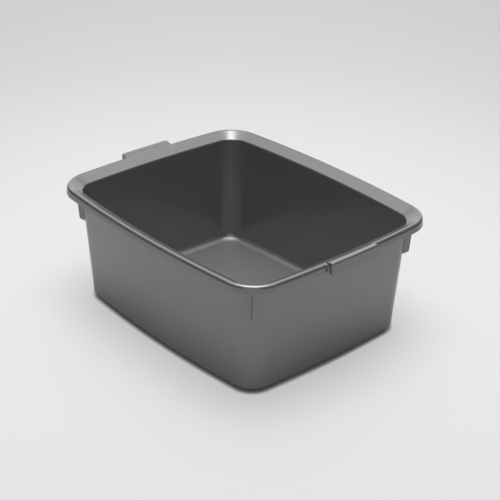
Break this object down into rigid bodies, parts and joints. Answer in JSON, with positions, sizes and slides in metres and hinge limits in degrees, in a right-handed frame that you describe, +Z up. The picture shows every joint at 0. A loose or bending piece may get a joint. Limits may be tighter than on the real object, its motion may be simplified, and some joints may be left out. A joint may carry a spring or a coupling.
{
  "type": "washing up bowl",
  "caption": "Rectangular moulded plastic washing up bowl with bowed drafted walls, a flange sloping into the bowl, a turned-down skirt, grip tabs on the ends and corner stacking ribs.",
  "frame": {"origin": "on the surface that the bowl stands on, under the middle of the bowl", "axes": "+X along the bowl towards the right grip tab, +Y towards the back long wall, +Z up"},
  "size_m": [0.3992, 0.3182, 0.1603],
  "materials": {
    "bowl_plastic": "satin metallic silver-grey, fine flake in the plastic"
  },
  "bodies": {
    "root": {"floor_panel": "bowl_plastic", "base_heel": "bowl_plastic", "front_wall": "bowl_plastic", "back_wall": "bowl_plastic", "left_wall": "bowl_plastic", "right_wall": "bowl_plastic", "front_left_corner": "bowl_plastic", "front_right_corner": "bowl_plastic", "back_left_corner": "bowl_plastic", "back_right_corner": "bowl_plastic", "rim": "bowl_plastic", "left_handle": "bowl_plastic", "right_handle": "bowl_plastic", "front_left_rib": "bowl_plastic", "front_right_rib": "bowl_plastic", "back_left_rib": "bowl_plastic", "back_right_rib": "bowl_plastic"}
  },
  "joints": []
}
